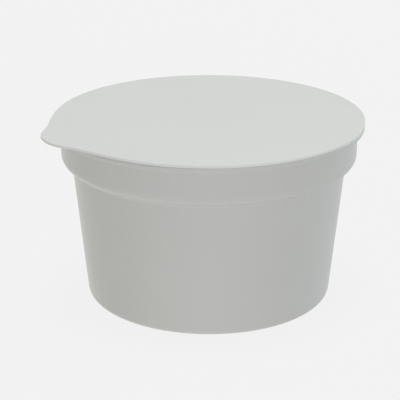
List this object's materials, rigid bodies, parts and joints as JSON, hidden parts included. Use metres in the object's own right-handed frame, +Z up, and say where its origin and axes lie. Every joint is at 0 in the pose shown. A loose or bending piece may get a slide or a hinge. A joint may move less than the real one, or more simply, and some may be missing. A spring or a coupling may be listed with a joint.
{
  "type": "cottage cheese tub",
  "caption": "Shut round plastic dairy tub with a tapered wall, a stepped collar under its rim, and a flat peel-off lid with a pull tab.",
  "frame": {"origin": "middle of the flat base, on the surface that the tub stands on", "axes": "+Z up along the tub's axis, -X out along the pull tab, +Y across it"},
  "size_m": [0.101, 0.095, 0.0561],
  "materials": {
    "tub_plastic": "white moulded polypropylene, satin, unprinted",
    "lid_film": "white lacquered peel film, matte, unprinted"
  },
  "bodies": {
    "root": {"tub": "tub_plastic", "lid": "lid_film"}
  },
  "joints": []
}
